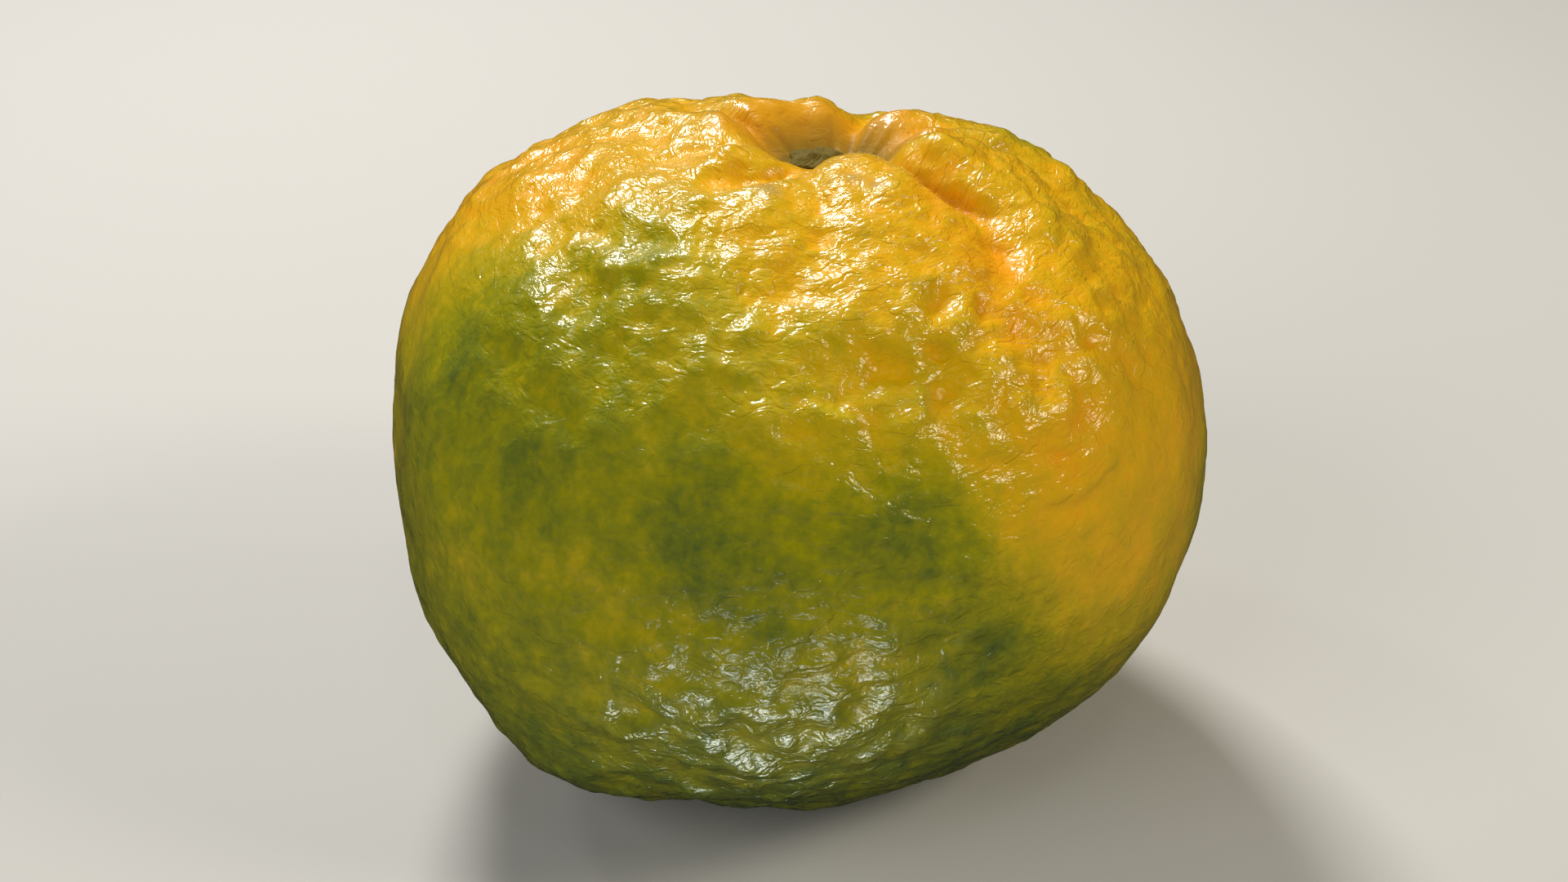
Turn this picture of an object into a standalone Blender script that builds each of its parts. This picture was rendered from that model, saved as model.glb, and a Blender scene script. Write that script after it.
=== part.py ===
"""A mandarin orange with a puckered stem end, standing on its blossom end.

The fruit is one solid. It starts as a squarish, flattened ball, and every point of the rind
is then pushed in or out along its own ray from the middle: by the hollow at the stem, the
folds that run out of that hollow, the swells between them and the unevenness of a loose
rind. The dried calyx, the button that the stalk leaves behind, is a piece of its own and
sits on the floor of the hollow.

Metres, +Z up. +X is the fruit's right and -Y its front, as the viewer sees it. The origin is
on the table, under the middle of the fruit's box.
"""

import math
from collections import namedtuple

import bmesh
import bpy
import numpy as np
from mathutils import Matrix, Vector, noise

MM = 0.001

# Driving dimensions of the ball that the rind starts from: its width and depth, its half
# height above and below its middle, and how square it is from the side, where 2 would be an
# ellipse. The middle is a little lower than the lower half is high, which leaves the flat
# spot that the fruit stands on
WIDTH = 61.6 * MM
DEPTH = 60.0 * MM
UPPER_HALF = 25.2 * MM
LOWER_HALF = 26.5 * MM
UPPER_SQUARENESS = 2.28
LOWER_SQUARENESS = 2.14
MIDDLE_ABOVE_TABLE = 25.8 * MM

# The grid of the rind: quads along each edge of the cube that is blown up to the ball,
# how much the quads are crowded towards the stem, and how far the grid is turned, in
# degrees, so that its lines run along the deepest fold
GRID = 31
CROWDING = 0.35
GRID_TURN = -38

# The stem's axis leans back and a little to the right
STEM_AZIMUTH = 50
STEM_LEAN = 8.1
STEM_REACH = 24 * MM

# The hollow round the stem: how far out its flat floor and its rim are, how far the floor is
# from the fruit's middle, and how much the rim is puffed up
HOLLOW_FLOOR = 3.3 * MM
HOLLOW_RIM = 6.9 * MM
FLOOR_FROM_MIDDLE = 21.9 * MM
RIM_RISE = 0.4 * MM
PLEATS = 11
PLEAT_DEPTH = 0.16 * MM

# The calyx: a five-lobed button with the stump of the stalk on it
CALYX_RADIUS = 2.6 * MM
CALYX_LOBES = 5
CALYX_LOBE_RISE = 0.35 * MM
CALYX_EDGE = 0.45 * MM
CALYX_DOME = 0.4 * MM
STUMP_RADIUS = 1.05 * MM
STUMP_RISE = 0.35 * MM
GAP = 0.3 * MM

# A fold follows a way over the rind, given as places by azimuth from the right and angle
# from straight up, in degrees. It is a furrow, or a ridge where its depth is negative. The
# rind on its right-hand side, going outwards, may stand higher by a step
Fold = namedtuple("Fold", "way depth width step")
FOLDS = (
    Fold(
        ((22, 8), (-12, 12), (-24, 19), (-28, 25), (-30, 31), (-34, 37), (-41, 42), (-45, 49), (-48, 57)),
        2.3 * MM, 1.1 * MM, 0.35 * MM,
    ),
    Fold(((34, 12), (31, 20), (31, 27), (27, 34), (20, 40)), 1.1 * MM, 1.1 * MM, 0.3 * MM),
    Fold(
        ((-5, 12), (5, 17), (12, 24), (14, 31), (9, 37), (1, 42), (-5, 48), (-12, 54), (-25, 60)),
        1.2 * MM, 1.1 * MM, 0.3 * MM,
    ),
    Fold(((50, 12), (61, 19), (65, 27), (70, 40), (76, 56)), 1.7 * MM, 1.1 * MM, 0),
    Fold(((112, 9), (124, 16), (132, 23), (130, 33), (128, 45)), 1.3 * MM, 1.1 * MM, 0.3 * MM),
    Fold(
        ((-95, 9), (-105, 14), (-119, 16.5), (-131, 19), (-142, 22), (-151, 27), (-155, 33)),
        0.7 * MM, 1.0 * MM, -0.3 * MM,
    ),
    Fold(
        ((-70, 6), (-83, 13), (-83, 20), (-84, 28), (-87, 35), (-92, 40), (-101, 42)),
        0.6 * MM, 1.3 * MM, 0,
    ),
    Fold(((-170, 9), (-168, 15), (-171, 21), (-165, 28)), 0.6 * MM, 1.1 * MM, 0),
    Fold(((168, 64), (178, 55), (-174, 49), (-165, 44), (-157, 42), (-150, 42)), 0.45 * MM, 1.2 * MM, 0),
    Fold(((-160, 42), (-147, 42), (-136, 46), (-124, 49), (-112, 50), (-104, 49)), 0.7 * MM, 1.2 * MM, 0),
    Fold(((-60, 38), (-67, 40), (-77, 43), (-84, 45), (-90, 48), (-93, 54)), -0.7 * MM, 1.4 * MM, 0),
    Fold(((-91, 48), (-92, 53), (-96, 59), (-92, 64)), -0.4 * MM, 1.4 * MM, 0),
    Fold(((-162, 46), (-152, 46), (-142, 49), (-131, 52), (-122, 55)), -0.25 * MM, 1.4 * MM, 0),
)

# A swell, or a dent where its rise is negative: the place of its middle, as in a fold's way,
# how far it reaches in degrees, and its rise. The first few square the ball's outline up
Swell = namedtuple("Swell", "azimuth polar reach rise")
SWELLS = (
    Swell(200, 62, 28, 0.1 * MM),
    Swell(160, 62, 26, 1.7 * MM),
    Swell(225, 112, 26, 1.1 * MM),
    Swell(229, 126, 13, 1.5 * MM),
    Swell(180, 95, 26, -0.6 * MM),
    Swell(-5, 90, 30, 0.5 * MM),
    Swell(20, 60, 24, -0.4 * MM),
    Swell(300, 120, 26, -1.3 * MM),
    Swell(250, 132, 14, -0.8 * MM),
    Swell(133, 38, 9, 0.45 * MM),
    Swell(170, 73, 8, -0.4 * MM),
    Swell(12, 66, 9, 0.3 * MM),
    Swell(-27, 128, 13, 0.4 * MM),
    Swell(-139, 139, 8, 0.35 * MM),
    Swell(-164, 116, 9, -0.35 * MM),
    Swell(82, 32, 17, -1.5 * MM),
    Swell(112, 26, 9, 0.1 * MM),
    Swell(80, 27, 6, 0.2 * MM),
    Swell(45, 25, 6, -0.5 * MM),
    Swell(28, 38, 8, 0.5 * MM),
    Swell(-96, 11, 4.5, -0.9 * MM),
    Swell(-59, 24, 9, 0.5 * MM),
    Swell(-46, 13, 5, -0.2 * MM),
    Swell(122, 30, 15, 0.4 * MM),
    Swell(-123, 30, 15, 0.6 * MM),
    Swell(-14, 25, 10, 0.6 * MM),
    Swell(-66, 47, 5, 0.5 * MM),
    Swell(-57, 59, 6, 0.5 * MM),
    Swell(-36, 53, 6, 0.6 * MM),
    Swell(-27, 43, 6, 0.5 * MM),
    Swell(-66, 53, 5, -0.6 * MM),
    Swell(-45, 64, 6, 0.4 * MM),
    Swell(-133, 37, 5, -0.4 * MM),
    Swell(-114, 52, 9, 0.4 * MM),
    Swell(-80, 49, 5, -0.3 * MM),
    Swell(-164, 56, 8, 0.15 * MM),
)

# The unevenness of the loose rind: two sizes of noise, in waves round the ball, which grow
# from the smoother blossom end to the stem end
LUMP_WAVES = 3.4
LUMP_HEIGHT = 0.55 * MM
RIPPLE_WAVES = 7.5
RIPPLE_HEIGHT = 0.4 * MM
LOWER_SHARE = 0.55


def toward(azimuth, polar):
    """The unit vector at an azimuth from +X and an angle from +Z, both in degrees."""
    a = math.radians(azimuth)
    p = math.radians(polar)
    return np.array([math.sin(p) * math.cos(a), math.sin(p) * math.sin(a), math.cos(p)])


def unit(vectors):
    """The vectors made one long."""
    return vectors / np.linalg.norm(vectors, axis=-1, keepdims=True)


def smooth(low, high, value):
    """0 below low, 1 above high, and an even S between them."""
    t = np.clip((value - low) / (high - low), 0, 1)
    return t * t * (3 - 2 * t)


STEM = toward(STEM_AZIMUTH, STEM_LEAN)


def ball_radius(rays):
    """How far the squarish ball reaches along each ray."""
    above = rays[:, 2] > 0
    half_height = np.where(above, UPPER_HALF, LOWER_HALF)
    square = np.where(above, UPPER_SQUARENESS, LOWER_SQUARENESS)
    across = np.hypot(rays[:, 0] / (WIDTH / 2), rays[:, 1] / (DEPTH / 2))
    up = np.abs(rays[:, 2]) / half_height
    return (across**square + up**square) ** (-1 / square)


def swell_rise(rays):
    """The sum of the soft rises and dents along each ray."""
    total = np.zeros(len(rays))
    for swell in SWELLS:
        near = rays @ toward(swell.azimuth, swell.polar)
        arc = np.degrees(np.arccos(np.clip(near, -1, 1)))
        total += swell.rise * np.exp(-((arc / swell.reach) ** 2))
    return total


def rounded_way(places, steps=5):
    """The directions of a way's places, with a curve through them in short steps."""
    knots = [toward(*place) for place in places]
    knots = [2 * knots[0] - knots[1], *knots, 2 * knots[-1] - knots[-2]]
    way = []
    for a, b, c, d in zip(knots, knots[1:], knots[2:], knots[3:]):
        for t in np.arange(steps) / steps:
            curve = 2 * b + (c - a) * t + (2 * a - 5 * b + 4 * c - d) * t**2
            way.append(curve + (3 * b - a - 3 * c + d) * t**3)
    return unit(np.array([*way, 2 * knots[-2]]))


def beside_way(rays, way):
    """For each ray: its distance from the way, its side, and how far along the way it is."""
    nearest = np.full(len(rays), np.inf)
    side = np.zeros(len(rays))
    along = np.zeros(len(rays))
    for i, (start, end) in enumerate(zip(way, way[1:])):
        step = end - start
        t = np.clip((rays - start) @ step / (step @ step), 0, 1)
        off = np.linalg.norm(rays - start - t[:, None] * step, axis=1)
        closer = off < nearest
        nearest = np.where(closer, off, nearest)
        side = np.where(closer, np.sign(rays @ np.cross(end, start)), side)
        along = np.where(closer, (i + t) / (len(way) - 1), along)
    return nearest * STEM_REACH, side, along


def fold_drop(rays):
    """How far the folds push the rind in: creases with puffed lips, fading at both ends."""
    total = np.zeros(len(rays))
    for fold in FOLDS:
        off, side, along = beside_way(rays, rounded_way(fold.way))
        fade = smooth(0, 0.12, along) * (1 - smooth(0.35, 1, along))
        width = fold.width * (0.8 + 0.8 * along)
        crease = np.exp(-((off / width) ** 1.5))
        lip = np.exp(-(((off - 2.3 * width) / (1.2 * width)) ** 2))
        overlap = side * smooth(0, width, off) * np.exp(-off / (4 * fold.width))
        total += fade * (fold.depth * (crease - 0.3 * lip) - fold.step * overlap / 2)
    return total


def unevenness(rays):
    """The uneven puffiness of the rind, as two sizes of noise."""
    big = np.array([noise.noise(Vector(ray) * LUMP_WAVES) for ray in rays])
    small = np.array([noise.noise(Vector(ray) * RIPPLE_WAVES) for ray in rays])
    share = LOWER_SHARE + (1 - LOWER_SHARE) * smooth(-0.6, 0.5, rays[:, 2])
    return share * (LUMP_HEIGHT * big + RIPPLE_HEIGHT * small)


def rind_points(rays):
    """The place of the rind along each ray from the fruit's middle, above the table."""
    radius = ball_radius(rays) + swell_rise(rays) + unevenness(rays) - fold_drop(rays)
    rise = rays @ STEM
    out = np.arccos(np.clip(rise, -1, 1)) * STEM_REACH
    around = np.arctan2(rays @ np.cross(STEM, (1, 0, 0)), rays[:, 0] - rise * STEM[0])
    wall = smooth(0.8 * HOLLOW_FLOOR, HOLLOW_RIM, out) * (1 - smooth(0.8, 1.6, out / HOLLOW_RIM))
    radius += RIM_RISE * np.exp(-(((out - 1.15 * HOLLOW_RIM) / (0.4 * HOLLOW_RIM)) ** 2))
    radius -= PLEAT_DEPTH * wall * np.cos(PLEATS * around + 2 * np.sin(3 * around))
    floor = FLOOR_FROM_MIDDLE / np.maximum(rise, 0.5)
    radius = floor + (radius - floor) * smooth(HOLLOW_FLOOR, HOLLOW_RIM, out)
    return rays * radius[:, None] + (0, 0, MIDDLE_ABOVE_TABLE)


def clear_scene():
    for obj in list(bpy.data.objects):
        bpy.data.objects.remove(obj)


def make_material(name, colour, roughness):
    material = bpy.data.materials.new(name)
    material.use_nodes = True
    shader = material.node_tree.nodes["Principled BSDF"]
    shader.inputs["Base Color"].default_value = (*colour, 1)
    shader.inputs["Roughness"].default_value = roughness
    shader.inputs["Metallic"].default_value = 0
    return material


def add_object(name, form, material):
    """An object of its own from a finished bmesh, shaded smooth."""
    bmesh.ops.recalc_face_normals(form, faces=form.faces[:])
    mesh = bpy.data.meshes.new(name)
    form.to_mesh(mesh)
    form.free()
    mesh.shade_smooth()
    mesh.materials.append(material)
    obj = bpy.data.objects.new(name, mesh)
    bpy.context.scene.collection.objects.link(obj)
    return obj


def stand_flat(form):
    """Cut off what is under the table and close the cut with one flat face."""
    for vert in form.verts:
        if abs(vert.co.z) < 0.2 * MM:
            vert.co.z = 0
    cut = bmesh.ops.bisect_plane(
        form,
        geom=form.verts[:] + form.edges[:] + form.faces[:],
        dist=0.001 * MM,
        plane_co=(0, 0, 0),
        plane_no=(0, 0, -1),
        clear_outer=True,
    )
    rim = [item for item in cut["geom_cut"] if isinstance(item, bmesh.types.BMEdge)]
    bmesh.ops.contextual_create(form, geom=rim)


def make_fruit():
    """A cube cut into a grid, blown up to the rind's form and cut flat where it stands."""
    form = bmesh.new()
    bmesh.ops.create_cube(form, size=2)
    bmesh.ops.subdivide_edges(form, edges=form.edges[:], cuts=GRID - 1, use_grid_fill=True)
    # Equal angles, not equal steps, along the cube's faces keep the quads alike in size
    cube = np.array([vert.co for vert in form.verts])
    rays = unit(np.tan(cube * math.pi / 4))
    rays = unit(rays @ np.array(Matrix.Rotation(math.radians(-GRID_TURN), 3, "Z")) + CROWDING * STEM)
    for vert, point in zip(form.verts, rind_points(rays)):
        vert.co = point
    stand_flat(form)
    return add_object("fruit", form, make_material("rind", (0.60, 0.33, 0.03), 0.4))


def make_calyx():
    """A lobed button in rings round its middle, with a flat underside over the floor."""
    rings = 9
    segments = 40
    form = bmesh.new()
    rows = []
    for ring in range(1, rings + 1):
        row = []
        for i in range(segments):
            angle = 2 * math.pi * i / segments
            lobe = math.cos(CALYX_LOBES * angle) * CALYX_LOBE_RISE
            share = ring / rings
            out = share * (CALYX_RADIUS + lobe * share)
            dome = CALYX_EDGE + CALYX_DOME * (1 - share**2)
            stump = STUMP_RISE * (1 - float(smooth(0.8, 1.25, out / STUMP_RADIUS)))
            dish = 0.2 * MM * (1 - float(smooth(0, 0.8, out / STUMP_RADIUS)))
            row.append(form.verts.new((out * math.cos(angle), out * math.sin(angle), dome + stump - dish)))
        rows.append(row)
    rows.append([form.verts.new((vert.co.x, vert.co.y, 0)) for vert in rows[-1]])
    top = form.verts.new((0, 0, CALYX_EDGE + CALYX_DOME + STUMP_RISE - 0.2 * MM))
    for i in range(segments):
        after = (i + 1) % segments
        form.faces.new((top, rows[0][i], rows[0][after]))
        for inner, outer in zip(rows, rows[1:]):
            form.faces.new((inner[i], outer[i], outer[after], inner[after]))
    form.faces.new(rows[-1])
    turn = Vector((0, 0, 1)).rotation_difference(Vector(STEM)).to_matrix()
    for vert in form.verts:
        place = turn @ vert.co + Vector(STEM) * (FLOOR_FROM_MIDDLE + GAP)
        vert.co = place + Vector((0, 0, MIDDLE_ABOVE_TABLE))
    return add_object("calyx", form, make_material("dry_calyx", (0.20, 0.17, 0.07), 0.7))


def centre_on_origin(fruit, others):
    """Shift all pieces alike, so that the fruit's box is centred over the origin."""
    points = np.array([vert.co for vert in fruit.data.vertices])
    middle = (points.min(axis=0) + points.max(axis=0)) / 2
    for obj in (fruit, *others):
        for vert in obj.data.vertices:
            vert.co.x -= middle[0]
            vert.co.y -= middle[1]


clear_scene()
fruit = make_fruit()
calyx = make_calyx()
centre_on_origin(fruit, [calyx])
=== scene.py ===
import math

import bpy
import numpy as np
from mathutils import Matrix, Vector


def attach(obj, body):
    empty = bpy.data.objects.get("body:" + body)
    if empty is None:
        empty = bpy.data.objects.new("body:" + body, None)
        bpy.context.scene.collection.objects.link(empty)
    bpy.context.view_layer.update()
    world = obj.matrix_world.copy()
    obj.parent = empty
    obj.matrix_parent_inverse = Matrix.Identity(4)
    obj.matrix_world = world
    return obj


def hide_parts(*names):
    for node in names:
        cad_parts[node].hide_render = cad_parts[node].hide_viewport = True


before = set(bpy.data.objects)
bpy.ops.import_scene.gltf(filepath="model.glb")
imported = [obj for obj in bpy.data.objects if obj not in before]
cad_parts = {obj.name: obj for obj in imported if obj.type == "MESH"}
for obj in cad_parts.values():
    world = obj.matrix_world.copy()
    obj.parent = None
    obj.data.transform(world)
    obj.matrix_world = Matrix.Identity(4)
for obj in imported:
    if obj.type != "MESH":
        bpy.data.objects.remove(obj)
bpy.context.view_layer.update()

# The rind
# The whole outside of the fruit is one loose, waxy skin, grown in one piece: puckered round
# the stem, creased where it sank between the segments, and pitted all over by oil glands.
# It starts as the solid fruit's own form, made sixteen times finer and then shaped further.
MM = 0.001
MIDDLE = np.array((0, 0, 25.8)) * MM  # the places below are seen from here
STEM_AXIS = (50, 8.1)  # a place is its azimuth from the right and its angle from straight up
FOOT_FADE = (0.4 * MM, 2.2 * MM)  # the skin is left flat up to the first height
WELD = 0.001 * MM
JOINED = math.radians(60)  # two triangles that meet at less than this become a quad
LEAST_WEIGHT = 0.004  # points that would move by a smaller share than this stay where they are
NEARBY = 0.97  # the cosine of the arc within which a line is felt


def finer_copy(node, name, levels):
    """A copy of a solid, with its triangles joined to quads and subdivided."""
    bpy.ops.object.select_all(action="DESELECT")
    piece = bpy.data.objects.new(name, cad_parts[node].data.copy())
    piece.data.name = name
    piece.data.materials.clear()
    bpy.context.scene.collection.objects.link(piece)
    piece.select_set(True)
    bpy.context.view_layer.objects.active = piece
    bpy.ops.object.mode_set(mode="EDIT")
    bpy.ops.mesh.select_all(action="SELECT")
    bpy.ops.mesh.remove_doubles(threshold=WELD)
    bpy.ops.mesh.tris_convert_to_quads(face_threshold=JOINED, shape_threshold=JOINED)
    bpy.ops.object.mode_set(mode="OBJECT")
    finer = piece.modifiers.new("finer", "SUBSURF")
    finer.levels = finer.render_levels = levels
    bpy.ops.object.modifier_apply(modifier=finer.name)
    bpy.ops.object.shade_smooth()
    return piece


def corners(piece):
    """The places of a piece's points, one row each."""
    places = np.empty(len(piece.data.vertices) * 3)
    piece.data.vertices.foreach_get("co", places)
    return places.reshape(-1, 3)


def displace(piece, name, weights, rise, **texture):
    """Moves a piece's points out by rise metres times their weights, evenly or by a texture."""
    group = piece.vertex_groups.new(name=name)
    for i in np.flatnonzero(weights > LEAST_WEIGHT):
        group.add([int(i)], float(weights[i]), "REPLACE")
    push = piece.modifiers.new(name, "DISPLACE")
    push.strength, push.mid_level, push.vertex_group = rise, 0, name
    for setting, value in texture.items():
        setattr(push, setting, value)
    bpy.ops.object.modifier_apply(modifier=push.name)
    piece.vertex_groups.clear()


def smooth(low, high, value):
    """0 below low, 1 above high and an even S between them."""
    t = np.clip((value - low) / (high - low), 0, 1)
    return t * t * (3 - 2 * t)


def toward(azimuth, angle):
    """The direction of a place from the middle."""
    a, p = math.radians(azimuth), math.radians(angle)
    return np.array((math.sin(p) * math.cos(a), math.sin(p) * math.sin(a), math.cos(p)))


rind = finer_copy("fruit", "rind", 2)
skin = corners(rind)
outward = skin - MIDDLE
reach = np.linalg.norm(outward, axis=1)
outward /= reach[:, None]
polar = np.degrees(np.arccos(outward[:, 2]))
above_foot = smooth(*FOOT_FADE, skin[:, 2])


def degrees_from(azimuth, angle):
    """How far each point of the skin lies from a place."""
    return np.degrees(np.arccos(np.clip(outward @ toward(azimuth, angle), -1, 1)))


def spot(azimuth, angle, size):
    """A soft round patch: 1 at its middle, fading over about size degrees."""
    return np.exp(-((degrees_from(azimuth, angle) / size) ** 2))


def rim(azimuth, angle, size):
    """A soft ring round a place, where the skin stands up round a dimple."""
    return np.exp(-(((degrees_from(azimuth, angle) - 1.9 * size) / (0.75 * size)) ** 2))


def rounded(way, steps=6):
    """The places of a way as directions, with a curve drawn through them."""
    knots = [toward(*place) for place in way]
    knots = [2 * knots[0] - knots[1], *knots, 2 * knots[-1] - knots[-2]]
    drawn = []
    for a, b, c, d in zip(knots, knots[1:], knots[2:], knots[3:]):
        for t in np.arange(steps) / steps:
            curve = 2 * b + (c - a) * t + (2 * a - 5 * b + 4 * c - d) * t**2
            drawn.append(curve + (3 * b - a - 3 * c + d) * t**3)
    drawn = np.array([*drawn, 2 * knots[-2]])
    return drawn / np.linalg.norm(drawn, axis=1)[:, None]


def line(way, width):
    """A soft line along a way, width metres wide, that thins out at both ends."""
    drawn = rounded(way)
    nearest = np.full(len(skin), 1.0)
    along = np.zeros(len(skin))
    for i, (start, end) in enumerate(zip(drawn, drawn[1:])):
        close = np.flatnonzero(outward @ start > NEARBY)
        step = end - start
        t = np.clip((outward[close] - start) @ step / (step @ step), 0, 1)
        off = np.linalg.norm(outward[close] - start - t[:, None] * step, axis=1)
        better = off < nearest[close]
        nearest[close[better]] = off[better]
        along[close[better]] = (i + t[better]) / (len(drawn) - 1)
    ends = smooth(0, 0.15, along) * (1 - smooth(0.6, 1, along))
    return ends * np.exp(-((nearest * reach / width) ** 2))


def press(name, weights, rise, **texture):
    """Raises the skin, all but its foot, by rise metres times the weights."""
    displace(rind, name, np.clip(weights, 0, 1) * above_foot, rise, **texture)


# Short pleats run down the wall of the hollow
PLEATS = (
    ((55, 14), (58, 18), (62, 23)), ((47, 14), (47, 18), (50, 23)), ((40, 14), (38, 18), (40, 23)),
    ((64, 14), (69, 18), (75, 22)), ((75, 13), (84, 17), (92, 20)), ((28, 13), (22, 17), (20, 22)),
    ((92, 12), (104, 14), (113, 17)),
)
# The folds' floors are drawn in sharply, as the skin doubles over on itself there
CREASES = (
    ((22, 8), (-12, 12), (-24, 19), (-28, 25), (-30, 31), (-34, 37)),
    ((-5, 12), (5, 17), (12, 24), (14, 31), (9, 37), (1, 42), (-5, 48)),
    ((34, 12), (31, 20), (31, 27), (27, 34), (20, 40)),
    ((50, 14), (61, 19), (65, 27), (70, 40)),
    ((112, 9), (124, 16), (132, 23), (130, 33)),
    ((-95, 9), (-105, 14), (-119, 16.5), (-131, 19), (-142, 22)),
    ((-70, 6), (-83, 13), (-83, 20), (-84, 28)),
    ((20, 12), (10, 17), (4, 22)),
    ((-170, 9), (-168, 15), (-171, 21), (-165, 28)),
)
# Between the folds the puffy skin gave way in long dents across its height, with sharper
# ridges left between them
DENTS = (
    ((-147, 37), (-141, 37.5), (-135, 37)), ((-132, 37), (-127, 36.5), (-120, 34)),
    ((-120, 31), (-109, 31)), ((-131, 45), (-125, 43.5), (-118, 41)), ((-104, 40), (-98, 41)),
    ((-84, 28), (-85, 33)), ((-80, 51), (-68, 53)), ((-92, 60), (-86, 60)), ((-56, 46), (-50, 48)),
)
RIDGES = (
    ((-136, 42), (-131, 42), (-124, 40), (-121, 38), (-112, 36), (-107, 34)),
    ((-97, 57), (-94, 61), (-92, 65)), ((-57, 52), (-52, 54)),
    ((-90, 57), (-84, 58), (-78, 58)), ((-70, 55), (-74, 59)), ((-42, 70), (-50, 73), (-60, 72)),
    ((-146, 32), (-140, 33), (-132, 32.5), (-124, 31)), ((-108, 27), (-100, 29), (-94, 29)),
)
# Each kind of line has its width and its rise in millimetres
for name, ways, width, rise in (
    ("pleats", PLEATS, 0.35, -0.22), ("creases", CREASES, 0.6, -0.25),
    ("dents", DENTS, 0.9, -0.35), ("ridges", RIDGES, 0.55, 0.25),
):
    press(name, sum(line(way, width * MM) for way in ways), rise * MM)

# Round dimples with a raised rim, and knolls: a place and its size in degrees
DIMPLES = (
    (-38, 57, 2.3), (-67, 57, 2.4), (-61, 60, 2.2), (-63, 44, 2.0), (-66, 51, 1.7), (-4, 46, 1.8),
    (-45, 64, 3.0), (-52, 60, 1.8), (-33, 62, 1.8), (-31, 54, 1.6), (-99, 101, 2.0), (-97, 105, 2.2),
    (-89, 103, 2.2), (-83, 99, 2.0), (-76, 103, 2.4), (-112, 100, 2.0),
)
KNOLLS = (
    (-66, 48, 1.8), (-60, 48, 2.4), (-57, 53, 2.2), (-37, 45, 2.2), (-45, 50, 2.8),
    (-58, 26, 2.8), (-86, 38, 2.2), (-123, 26, 3.0), (-12, 22, 2.4), (-22, 31, 2.4), (-70, 44, 2.0),
    (-110, 40, 2.6), (-98, 46, 2.6), (-94, 98, 2.6), (-71, 99, 2.4), (-105, 107, 2.6),
)
for name, shape, places, rise in (
    ("dimples", spot, DIMPLES, -0.35), ("rims", rim, DIMPLES, 0.16), ("knolls", spot, KNOLLS, 0.25),
):
    press(name, sum(shape(*place) for place in places), rise * MM)

# The loose skin is crumpled: strongly round the stem, on the shoulders and low in front, and
# hardly at all on the flanks and in the hollow. A place, its size in degrees and how much
# more or less it is crumpled than the skin round it
CRUMPLED = (
    (-110, 38, 22, 0.6), (-62, 50, 20, 0.6), (-98, 104, 34, 0.8), (-30, 50, 15, 0.3),
    (-165, 80, 22, -0.2), (-25, 88, 22, -0.25), (-166, 56, 16, -0.4),
)
off_stem = degrees_from(*STEM_AXIS)
crumple = 0.35 + 0.65 * smooth(75, 40, polar)
for azimuth, angle, size, share in CRUMPLED:
    crumple = crumple + share * spot(azimuth, angle, size)
crumple = np.clip(crumple, 0.15, 1) * (0.15 + 0.85 * smooth(11, 21, off_stem))

# Three patterns of crumples lie over each other: a name, the size in millimetres, how many
# times it is made finer, and the rise in millimetres
PATTERNS = (("sags", 3.4, 0, 0.55), ("lumps", 1.7, 0, 0.5), ("crumples", 1.0, 1, 0.42))
grain = bpy.data.objects.new("grain", None)
bpy.context.scene.collection.objects.link(grain)
grain.scale = (1.35, 1.35, 0.9)  # the crumples lie across the fruit's height
bpy.context.view_layer.update()
for name, size, depth, rise in PATTERNS:
    pattern = bpy.data.textures.new(name, "CLOUDS")
    pattern.noise_scale, pattern.noise_depth = size * MM, depth
    press(
        name, crumple, rise * MM,
        texture=pattern, texture_coords="OBJECT", texture_coords_object=grain, mid_level=0.5,
    )
bpy.data.objects.remove(grain)


def keep(name, values):
    """Stores one value a point on the rind, for its material to read."""
    layer = rind.data.attributes.new(name, "FLOAT", "POINT")
    layer.data.foreach_set("value", np.asarray(values, np.float32))


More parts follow.
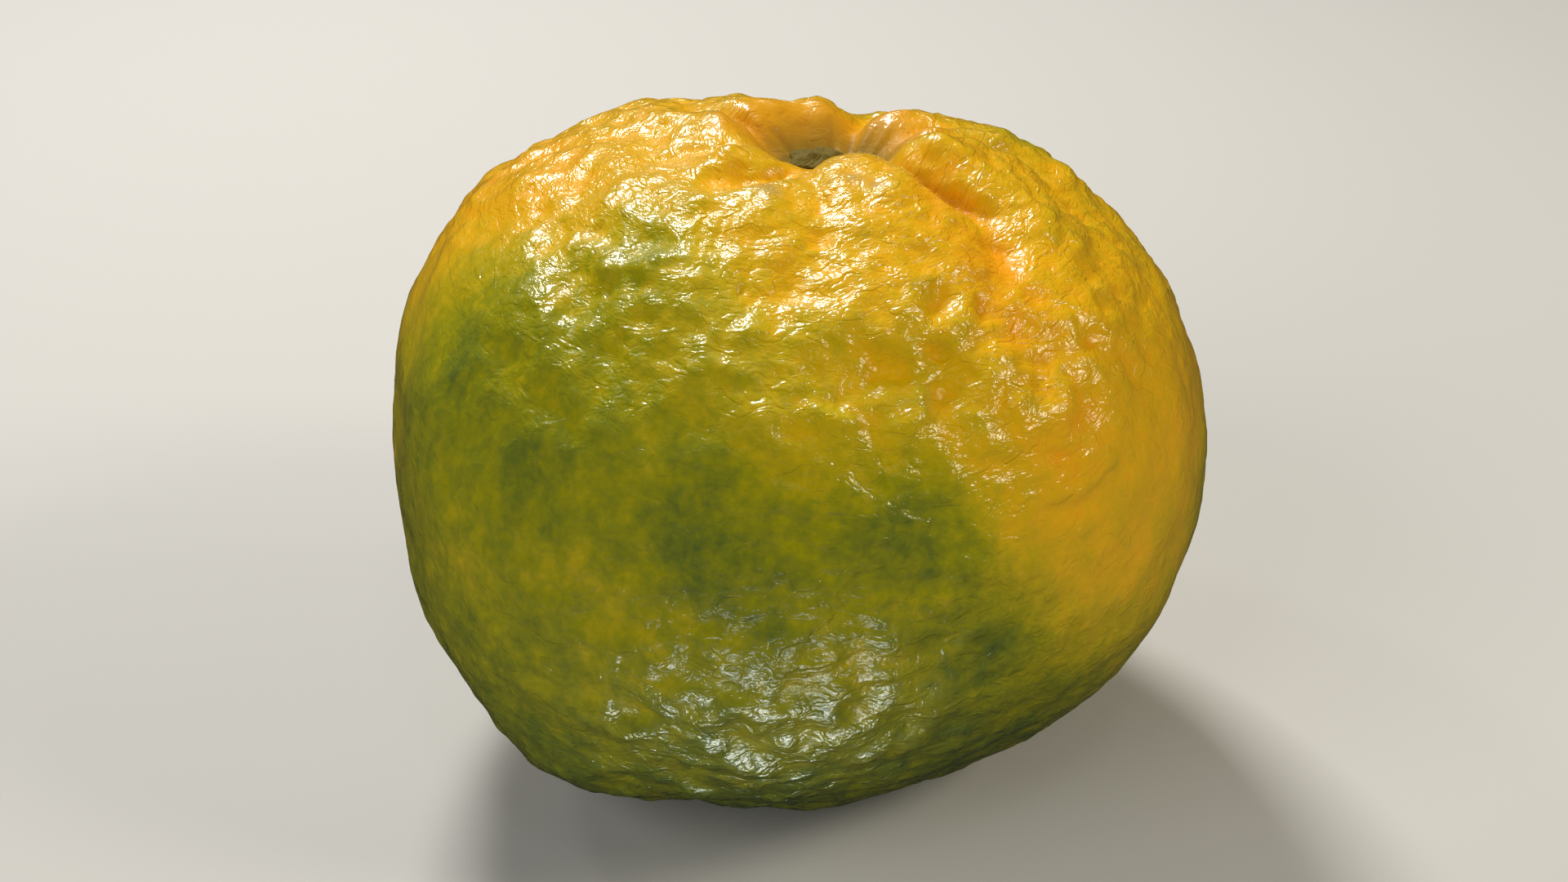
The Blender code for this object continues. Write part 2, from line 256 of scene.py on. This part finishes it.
# How ripe the skin is, painted in soft strokes over a green ground: 0 is dark green, 0.5
# yellow-green and 1 orange. A stroke is a place, its size in degrees, its ripeness and how
# much it covers
GREEN_GROUND = 0.33
STROKES = (
    (50, 5, 46, 0.82, 0.9), (-28, 62, 44, 0.76, 0.95), (40, 70, 50, 0.74, 0.8), (120, 60, 45, 0.7, 0.8),
    (175, 46, 27, 0.84, 0.9), (-122, 50, 15, 0.3, 0.8), (-88, 36, 17, 0.74, 0.8), (-78, 54, 13, 0.7, 0.85),
    (-66, 64, 12, 0.7, 0.85), (-56, 76, 14, 0.7, 0.85), (-40, 86, 12, 0.72, 0.7), (-92, 60, 10, 0.52, 0.7),
    (-108, 50, 9, 0.45, 0.6), (-127, 38, 6, 0.3, 0.7), (-150, 56, 13, 0.4, 0.6), (-150, 68, 13, 0.15, 0.75),
    (-128, 69, 6, 0.08, 0.45), (-120, 60, 5, 0.2, 0.4), (-101, 76, 9, 0.06, 0.7), (-104, 66, 7, 0.12, 0.5),
    (-92, 74, 7, 0.15, 0.3), (-77, 71, 8, 0.08, 0.75), (-78, 82, 7, 0.17, 0.3), (-66, 92, 9, 0.04, 0.7),
    (-152, 65, 5, 0.08, 0.5), (-72, 84, 8, 0.17, 0.5), (-88, 80, 5, 0.42, 0.5), (-131, 78, 6, 0.18, 0.35),
    (-90, 75, 4, 0.2, 0.4), (-95, 84, 4, 0.15, 0.45), (-75, 76, 5, 0.1, 0.45), (-70, 73, 4, 0.15, 0.4),
    (-78, 82, 4, 0.2, 0.4), (-88, 96, 4, 0.12, 0.5), (-71, 107, 5, 0.12, 0.5), (-110, 96, 12, 0.38, 0.5),
    (-95, 128, 26, 0.08, 0.85), (-133, 118, 12, 0.1, 0.8), (-58, 118, 18, 0.1, 0.8), (-12, 90, 8, 0.4, 0.7),
    (25, 40, 6, 0.45, 0.7), (-38, 28, 6, 0.9, 0.7), (-45, 41, 8, 0.92, 0.7), (-49, 51, 7, 0.86, 0.6),
    (-49, 67, 7, 0.84, 0.5),
)
ripeness = np.full(len(skin), GREEN_GROUND)
for azimuth, angle, size, value, cover in STROKES:
    share = cover * spot(azimuth, angle, size)
    ripeness = ripeness * (1 - share) + value * share
keep("ripeness", ripeness)

# How far each point lies in a furrow, from how far the skin round it stands above it once it
# is smoothed over
SMOOTHINGS = 24
FURROW_DEPTH = 0.25 * MM
places = corners(rind)
edges = np.empty(len(rind.data.edges) * 2, np.int32)
rind.data.edges.foreach_get("vertices", edges)
a, b = edges.reshape(-1, 2).T
points = len(places)
count = np.bincount(np.concatenate((a, b)), minlength=points)
level = places
for _ in range(SMOOTHINGS):
    total = [np.bincount(a, part[b], points) + np.bincount(b, part[a], points) for part in level.T]
    level = np.stack(total, 1) / count[:, None]
normals = np.empty(points * 3)
rind.data.vertices.foreach_get("normal", normals)
hollow = ((level - places) * normals.reshape(-1, 3)).sum(1)
keep("furrow", np.clip(hollow / FURROW_DEPTH, -1, 1))
keep("crinkle", crumple)

# The floor of the hollow is olive brown round the calyx, its far wall is orange, and a few
# corky scars mark its rim and the blossom end. The edges are in degrees from the stem's axis
FLOOR_EDGE = (8, 16)
WALL_FOOT = (6, 12)
WALL_TOP = (15, 24)
SCARS = (
    (-103, 21, 1.7), (-108, 19, 1.2), (-66, 19, 1.6), (-60, 22, 1.2), (-45, 12, 1.6), (20, 10, 1.2),
    (0, 180, 2.6),
)
far_side = smooth(0.1, 0.6, outward[:, 1] * 8)
keep("stem", 1 - smooth(*FLOOR_EDGE, off_stem))
keep("wall", smooth(*WALL_FOOT, off_stem) * (1 - smooth(*WALL_TOP, off_stem)) * far_side)
keep("scar", np.clip(sum(spot(*place) for place in SCARS), 0, 1))


def add(tree, kind, links=(), **settings):
    """A node with its settings, its plain socket values and the links into it."""
    node = tree.nodes.new(kind)
    for key, value in settings.items():
        setattr(node, key, value)
    for key, source in links:
        if isinstance(source, bpy.types.NodeSocket):
            tree.links.new(source, node.inputs[key])
        else:
            node.inputs[key].default_value = source
    return node


# Mottling, for the rind and the calyx: clouds of one size that vary about zero
mottling = bpy.data.node_groups.new("mottling", "ShaderNodeTree")
for label, way, kind in (
    ("Place", "INPUT", "Vector"), ("Size", "INPUT", "Float"), ("Strength", "INPUT", "Float"),
    ("Value", "OUTPUT", "Float"),
):
    mottling.interface.new_socket(label, in_out=way, socket_type="NodeSocket" + kind)
given = mottling.nodes.new("NodeGroupInput").outputs
per_metre = add(mottling, "ShaderNodeMath", ((0, 1.0), (1, given["Size"])), operation="DIVIDE").outputs[0]
cloud = add(mottling, "ShaderNodeTexNoise", (
    ("Vector", given["Place"]), ("Scale", per_metre), ("Detail", 3.0), ("Roughness", 0.6),
)).outputs["Fac"]
centred = add(mottling, "ShaderNodeMath", ((0, cloud), (1, 0.5)), operation="SUBTRACT").outputs[0]
scaled = add(mottling, "ShaderNodeMath", ((0, centred), (1, given["Strength"])), operation="MULTIPLY")
add(mottling, "NodeGroupOutput", (("Value", scaled.outputs[0]),))

skin_finish = bpy.data.materials.new("waxy rind")
skin_finish.use_nodes = True
tree = skin_finish.node_tree
shader = tree.nodes["Principled BSDF"]
place = add(tree, "ShaderNodeTexCoord").outputs["Object"]
centre = add(tree, "ShaderNodeMapping", (("Vector", place), ("Location", -Vector(MIDDLE)))).outputs["Vector"]


def read(name):
    """A value that is stored on the piece's points."""
    return add(tree, "ShaderNodeAttribute", attribute_name=name).outputs["Fac"]


def maths(operation, first, second=0.0, third=0.0, clamp=False):
    """The result of a sum, in the material that is being made."""
    links = ((0, first), (1, second), (2, third))
    return add(tree, "ShaderNodeMath", links, operation=operation, use_clamp=clamp).outputs[0]


def mottled(size, strength):
    """A mottling of one size, in the material that is being made."""
    links = (("Place", place), ("Size", size), ("Strength", strength))
    return add(tree, "ShaderNodeGroup", links, node_tree=mottling).outputs["Value"]


def tinted(colour, share, tint):
    """The colour, mixed by a share with a plain tint."""
    node = tree.nodes.new("ShaderNodeMix")
    node.data_type = "RGBA"
    tree.links.new(share, node.inputs[0])
    tree.links.new(colour, node.inputs[6])
    node.inputs[7].default_value = (*tint, 1)
    return node.outputs[2]


ripe = read("ripeness")
furrow = read("furrow")
speckle = 0.0
for size, strength in ((9.0 * MM, 0.2), (2.2 * MM, 0.25), (0.7 * MM, 0.2)):
    clouds = mottled(size, strength)
    speckle = maths("ADD", speckle, clouds)
# The greener the skin still is, the more it is mottled
ripe = maths("MULTIPLY_ADD", speckle, maths("MULTIPLY_ADD", ripe, -1.9, 2.28), ripe)
# Faint streaks run down the height of the fruit
parts = add(tree, "ShaderNodeSeparateXYZ", (("Vector", centre),)).outputs
length = add(tree, "ShaderNodeVectorMath", (("Vector", centre),), operation="LENGTH").outputs["Value"]
down = maths("ARCCOSINE", maths("DIVIDE", parts["Z"], length))
along = add(tree, "ShaderNodeCombineXYZ", (
    ("X", parts["X"]), ("Y", parts["Y"]), ("Z", maths("MULTIPLY", down, 0.005)),
)).outputs["Vector"]
streaks = add(tree, "ShaderNodeTexNoise", (("Vector", along), ("Scale", 900.0), ("Detail", 3.0)))
ripe = maths("MULTIPLY_ADD", maths("SUBTRACT", streaks.outputs["Fac"], 0.5), 0.14, ripe)
ripe = maths("MULTIPLY_ADD", furrow, 0.05, ripe, clamp=True)
RIPENING = (
    (0.0, (0.075, 0.11, 0.018)), (0.15, (0.138, 0.165, 0.009)), (0.35, (0.262, 0.253, 0.002)),
    (0.55, (0.47, 0.345, 0.002)), (0.75, (0.70, 0.38, 0.002)), (1.0, (0.82, 0.27, 0.003)),
)
ramp = add(tree, "ShaderNodeValToRGB", (("Fac", ripe),))
while len(ramp.color_ramp.elements) < len(RIPENING):
    ramp.color_ramp.elements.new(0.5)
for element, (position, colour) in zip(ramp.color_ramp.elements, RIPENING):
    element.position, element.color = position, (*colour, 1)

WALL_ORANGE = (0.62, 0.25, 0.009)
FLOOR_OLIVE = (0.15, 0.11, 0.018)
CORK = (0.36, 0.27, 0.14)
patchy = maths("MULTIPLY_ADD", clouds, 4.0, 0.8, clamp=True)  # by the finest mottling
colour = tinted(ramp.outputs["Color"], maths("MULTIPLY", read("wall"), 0.6), WALL_ORANGE)
colour = tinted(colour, maths("MULTIPLY", read("stem"), 0.85), FLOOR_OLIVE)
colour = tinted(colour, maths("MULTIPLY", read("scar"), maths("MULTIPLY", patchy, 0.6)), CORK)
tree.links.new(colour, shader.inputs["Base Color"])

# Crinkles: the wrinkles and gland pits too fine for the mesh, lying across the height
across = add(tree, "ShaderNodeCombineXYZ", (
    ("X", maths("MULTIPLY", parts["X"], 0.72)), ("Y", maths("MULTIPLY", parts["Y"], 0.72)),
    ("Z", maths("MULTIPLY", down, 0.029)),
)).outputs["Vector"]
creping = add(tree, "ShaderNodeTexNoise", (
    ("Vector", across), ("Scale", 850.0), ("Detail", 1.5), ("Roughness", 0.5), ("Distortion", 0.8),
)).outputs["Fac"]
wrinkles = add(tree, "ShaderNodeTexNoise", (
    ("Vector", across), ("Scale", 2600.0), ("Detail", 2.0), ("Roughness", 0.5), ("Distortion", 0.9),
)).outputs["Fac"]
glands = add(tree, "ShaderNodeTexVoronoi", (
    ("Vector", place), ("Scale", 1500.0), ("Smoothness", 0.5),
), feature="SMOOTH_F1").outputs["Distance"]
# A sharp wrinkle is the narrow line where the creping passes its middle value
narrow = maths("ABSOLUTE", maths("SUBTRACT", creping, 0.5))
narrow = maths("MINIMUM", maths("MULTIPLY", narrow, 9.0), 1.0)
height = maths("MULTIPLY", wrinkles, 0.42)
height = maths("MULTIPLY_ADD", glands, 0.15, height)
height = maths("MULTIPLY_ADD", creping, 0.8, height)
height = maths("MULTIPLY_ADD", narrow, 0.22, height)
height = maths("MULTIPLY", height, maths("MULTIPLY_ADD", read("crinkle"), 0.7, 0.3))
bump = add(tree, "ShaderNodeBump", (("Height", height), ("Distance", 0.19 * MM), ("Strength", 1.0)))
tree.links.new(bump.outputs["Normal"], shader.inputs["Normal"])
tree.links.new(bump.outputs["Normal"], shader.inputs["Coat Normal"])
# The wax's gloss is turned down in the furrows and the hollow. This is painted shade: it stands in for the
# shade that keeps the lamps' reflections out of them
shaded_gloss = maths("MULTIPLY_ADD", furrow, -0.5, 0.85)
shaded_gloss = maths("MULTIPLY_ADD", read("wall"), -0.6, shaded_gloss)
shaded_gloss = maths("MULTIPLY_ADD", read("stem"), -0.5, shaded_gloss, clamp=True)
tree.links.new(shaded_gloss, shader.inputs["Coat Weight"])

shader.inputs["Roughness"].default_value = 0.5
shader.inputs["Specular IOR Level"].default_value = 0.15
shader.inputs["Coat Roughness"].default_value = 0.155
shader.inputs["Subsurface Weight"].default_value = 0.1
shader.inputs["Subsurface Radius"].default_value = (1.0, 0.5, 0.1)
shader.inputs["Subsurface Scale"].default_value = 1.5 * MM
rind.data.materials.append(skin_finish)
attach(rind, "root")
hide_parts("fruit")

# The calyx
# The dried, woody button with five blunt lobes that the flower left at the stem, with the cut
# stump of the stalk in its middle. It sits on the floor of the hollow.
BUTTON_FOOT = 22.2 * MM  # from the fruit's middle, along the stem's axis
LOBES = 5
WRINKLES = 31
calyx = finer_copy("calyx", "calyx_button", 3)

# It dried into fine wrinkles that run out along the lobes, with a crumbly surface over them
axis = toward(*STEM_AXIS)
button = corners(calyx) - MIDDLE
sideways = np.cross(axis, (1, 0, 0))
sideways /= np.linalg.norm(sideways)
around = np.arctan2(button @ sideways, button @ np.cross(sideways, axis))
out_from_stem = np.linalg.norm(button - (button @ axis)[:, None] * axis, axis=1)
wrinkle = 0.5 + 0.5 * np.cos(WRINKLES * around + 3 * np.sin(LOBES * around))
wrinkle *= smooth(1.0 * MM, 1.5 * MM, out_from_stem)  # none on the stump
wrinkle *= smooth(0.25 * MM, 0.5 * MM, button @ axis - BUTTON_FOOT)
displace(calyx, "wrinkles", wrinkle, -0.09 * MM)
crumbs = bpy.data.textures.new("crumbs", "CLOUDS")
crumbs.noise_scale, crumbs.noise_depth = 0.45 * MM, 2
displace(calyx, "crumbs", np.ones(len(button)), 0.13 * MM, texture=crumbs, mid_level=0.6)

dry = bpy.data.materials.new("dry calyx")
dry.use_nodes = True
tree = dry.node_tree
shader = tree.nodes["Principled BSDF"]
place = add(tree, "ShaderNodeTexCoord").outputs["Object"]
dryness = maths("ADD", mottled(0.5 * MM, 0.9), 0.5, clamp=True)
ramp = add(tree, "ShaderNodeValToRGB", (("Fac", dryness),))
ramp.color_ramp.elements[0].color = (0.05, 0.038, 0.008, 1)
ramp.color_ramp.elements[1].color = (0.22, 0.16, 0.028, 1)
tree.links.new(ramp.outputs["Color"], shader.inputs["Base Color"])
shader.inputs["Roughness"].default_value = 0.7
shader.inputs["Specular IOR Level"].default_value = 0.1
bump = add(tree, "ShaderNodeBump", (("Height", dryness), ("Distance", 0.1 * MM)))
tree.links.new(bump.outputs["Normal"], shader.inputs["Normal"])
calyx.data.materials.append(dry)
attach(calyx, "root")
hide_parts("calyx")

# The floor, the lights and the camera
# A plain pale floor under soft studio lamps, seen from the photograph's viewing angle. The
# floor is clear from below.
bpy.ops.object.select_all(action="DESELECT")
bpy.ops.mesh.primitive_plane_add(size=3, location=(0, 0, 0))
floor = bpy.context.active_object
floor.name = "floor"
pale = bpy.data.materials.new("pale floor")
pale.use_nodes = True
tree = pale.node_tree
shader = tree.nodes["Principled BSDF"]
shader.inputs["Base Color"].default_value = (0.5, 0.5, 0.5, 1)
shader.inputs["Roughness"].default_value = 0.8
below = add(tree, "ShaderNodeNewGeometry").outputs["Backfacing"]
clear = add(tree, "ShaderNodeBsdfTransparent").outputs[0]
mixed = add(tree, "ShaderNodeMixShader", ((0, below), (1, shader.outputs[0]), (2, clear)))
tree.links.new(mixed.outputs[0], tree.nodes["Material Output"].inputs["Surface"])
floor.data.materials.append(pale)
floor.visible_glossy = False  # a pale floor would veil the dark wax

world = bpy.data.worlds.new("studio")
bpy.context.scene.world = world
world.use_nodes = True
world.node_tree.nodes["Background"].inputs["Color"].default_value = (0.9, 0.95, 1, 1)
world.node_tree.nodes["Background"].inputs["Strength"].default_value = 0.02


def hang(name, size, power, colour, location, back):
    """An area lamp at a location, with its back turned to a direction."""
    lamp = bpy.data.lights.new(name, "AREA")
    lamp.size, lamp.energy, lamp.color = size, power, colour
    holder = bpy.data.objects.new(name, lamp)
    bpy.context.scene.collection.objects.link(holder)
    holder.location = location
    holder.rotation_euler = back.to_track_quat("Z", "Y").to_euler()
    holder.visible_camera = False
    return holder


# A lamp is its direction from the fruit, its distance, size, power and colour, and whether it
# is mirrored in the wax
LAMPS = (
    ("back key", (-0.24, 0.57, 0.79), 0.45, 0.11, 2.1, (1, 0.96, 0.88), True),
    ("left key", (-0.6, 0.25, 0.76), 0.45, 0.05, 0.12, (1, 0.96, 0.9), True),
    ("right fill", (0.76, -0.25, 0.6), 0.45, 0.12, 0.75, (1, 0.9, 0.68), True),
    ("front glint", (0.1, -0.5, 0.86), 0.45, 0.05, 0.05, (1, 0.97, 0.92), True),
    ("front panel", (-0.6, -0.6, 0.52), 0.6, 0.4, 1.8, (1, 0.97, 0.92), False),
    ("low fill", (0.05, -0.8, 0.08), 0.6, 0.12, 0.3, (1, 0.96, 0.88), False),
    ("right rim", (0.92, 0.08, 0.38), 0.6, 0.12, 0.55, (1, 0.96, 0.88), False),
)
for name, direction, distance, size, power, colour, glints in LAMPS:
    direction = Vector(direction)
    location = Vector(MIDDLE) + direction.normalized() * distance
    hang(name, size, power, colour, location, direction).visible_glossy = glints

# A small card low in front shows only as a sheen on the underside of the belly. Its narrow
# spread hides it from above
CARD_PLACE = Vector((-3, -45, 1)) * MM
CARD_BACK = Vector((0, -0.85, -0.53))
card = hang("sheen card", 0.032, 0.0025, (0.86, 0.93, 1), CARD_PLACE, CARD_BACK)
card.data.shape, card.data.size_y = "RECTANGLE", 0.02
card.data.spread = math.radians(46)
card.visible_diffuse = False

CAMERA_RISE = math.radians(30)  # above the horizon
CAMERA_DISTANCE = 0.169
camera = bpy.data.objects.new("camera", bpy.data.cameras.new("camera"))
bpy.context.scene.collection.objects.link(camera)
camera.data.lens, camera.data.sensor_width = 50, 36
camera.data.clip_start = 0.005
look_at = Vector((-1.2, 0, 25.7)) * MM
back = Vector((0, -math.cos(CAMERA_RISE), math.sin(CAMERA_RISE)))
camera.location = look_at + back * CAMERA_DISTANCE
camera.rotation_euler = (-back).to_track_quat("-Z", "Y").to_euler()
bpy.context.scene.camera = camera
bpy.context.scene.view_settings.view_transform = "Standard"
